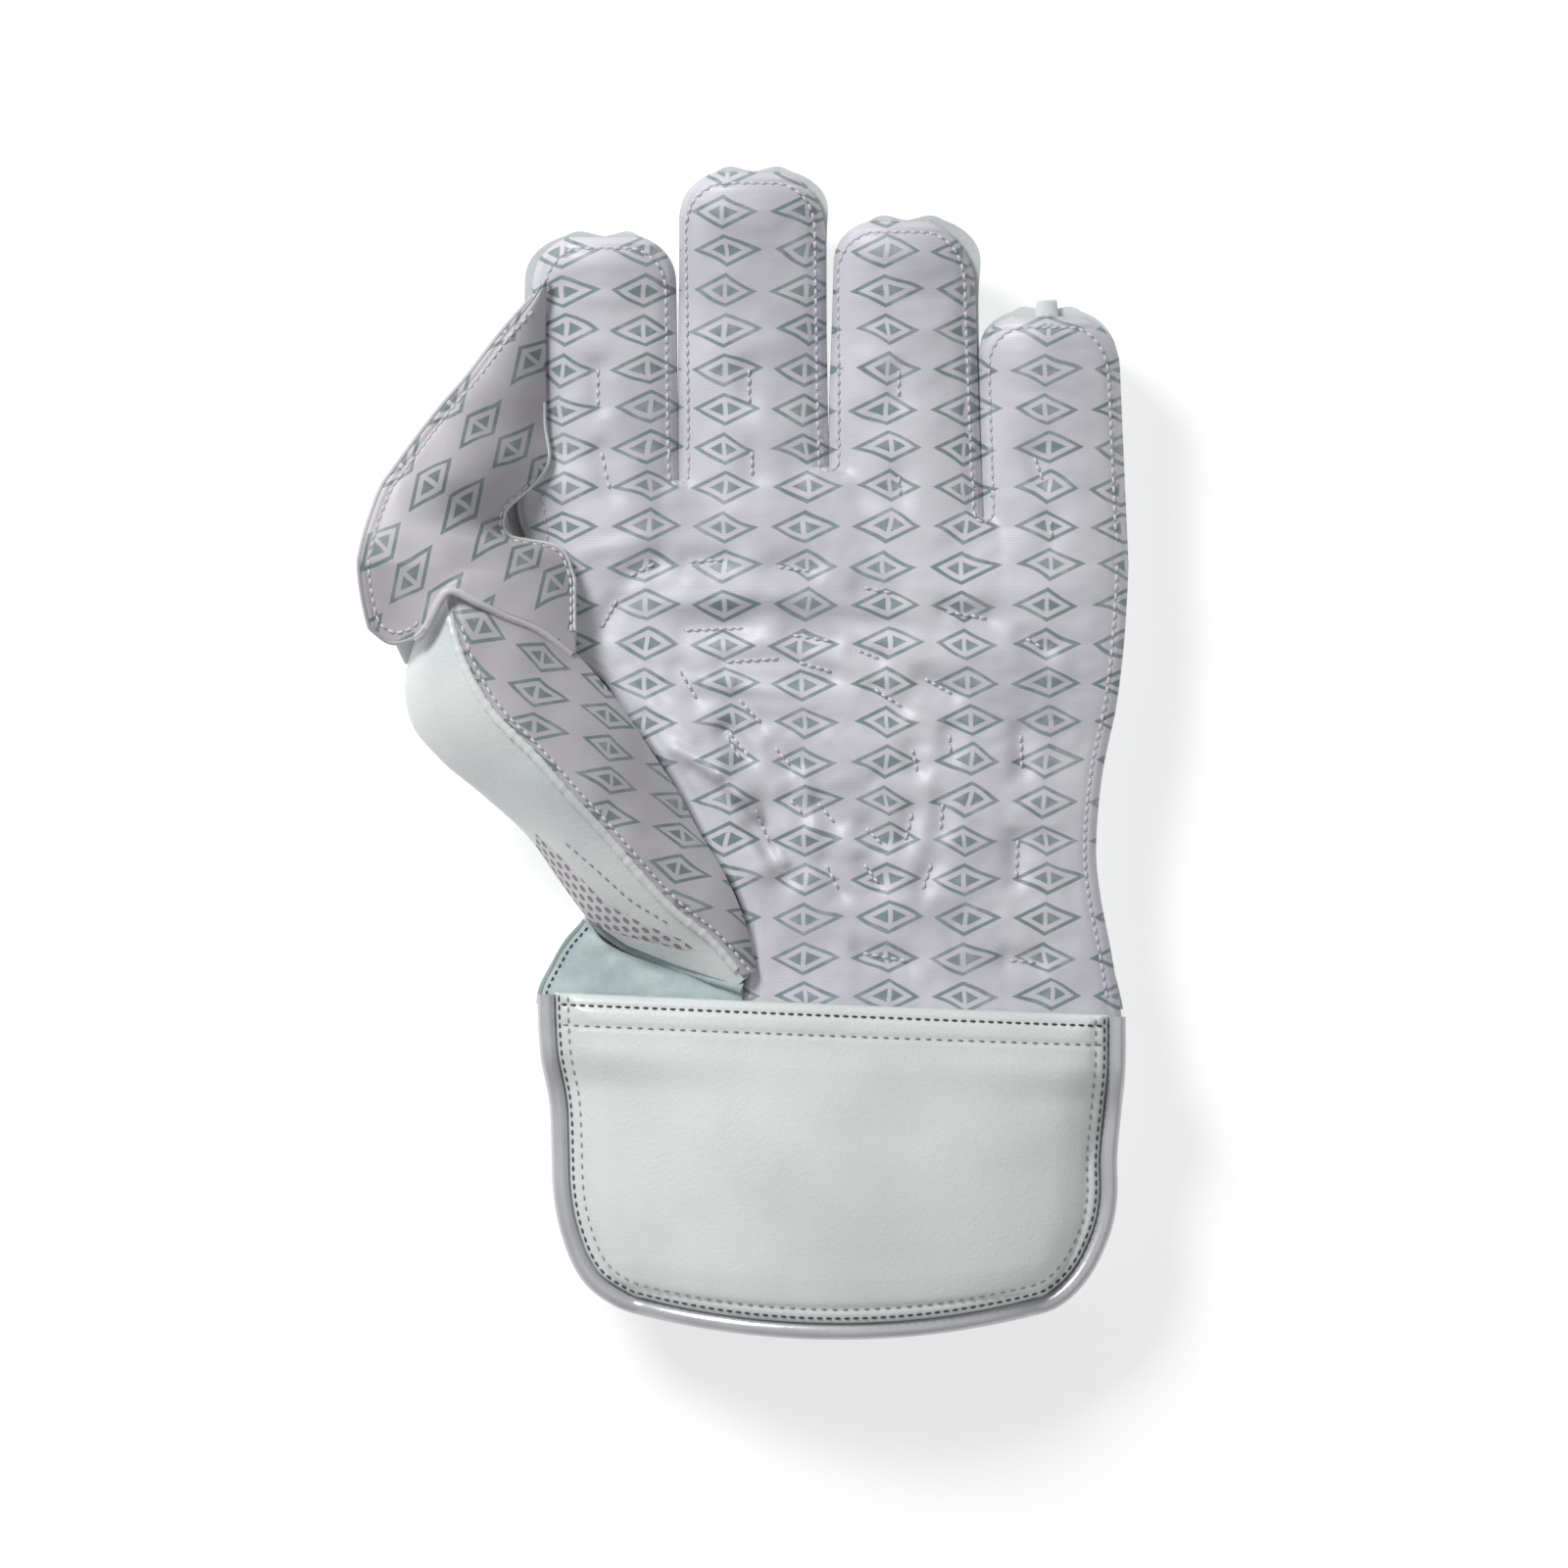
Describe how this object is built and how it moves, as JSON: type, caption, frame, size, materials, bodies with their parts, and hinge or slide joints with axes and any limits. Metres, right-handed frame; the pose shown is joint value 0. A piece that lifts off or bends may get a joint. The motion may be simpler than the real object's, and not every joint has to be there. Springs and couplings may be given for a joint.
{
  "type": "wicketkeeping glove",
  "caption": "Left-hand wicketkeeping glove lying palm up: printed palm and finger facing, webbed thumb, padded leather stalls and a wide piped cuff.",
  "frame": {"origin": "centre of the glove in plan, at the level of the flat back that it lies on", "axes": "+X towards the little finger, +Y towards the fingertips, +Z out of the palm"},
  "size_m": [0.1952, 0.2984, 0.0632],
  "materials": {
    "palm_facing": "printed fine-ribbed grip sheet, pale lilac grey",
    "thumb_facing": "printed fine-ribbed grip sheet, pale lilac grey",
    "web_facing": "printed fine-ribbed grip sheet, pale lilac grey",
    "leather": "smooth white padded leather",
    "back_leather": "smooth white leather",
    "thumb_leather": "smooth white leather",
    "cuff_leather": "smooth white padded leather",
    "cuff_back_leather": "smooth white leather",
    "suede": "pale blue-green suede",
    "mesh": "perforated cloth, pale pinkish lilac",
    "piping": "metallic silver piping"
  },
  "bodies": {
    "root": {"palm_facing": "palm_facing", "index_back": "leather", "middle_back": "leather", "ring_back": "leather", "little_back": "leather", "little_tab": "leather", "index_side": "back_leather", "hand_back": "back_leather", "little_side": "back_leather", "heel_gusset": "suede", "thumb_facing": "thumb_facing", "thumb_cap": "thumb_leather", "thumb_mesh_panel": "mesh", "web_panel": "web_facing", "cuff_palm_panel": "cuff_leather", "cuff_back_panel": "cuff_back_leather", "cuff_piping": "piping"}
  },
  "joints": []
}
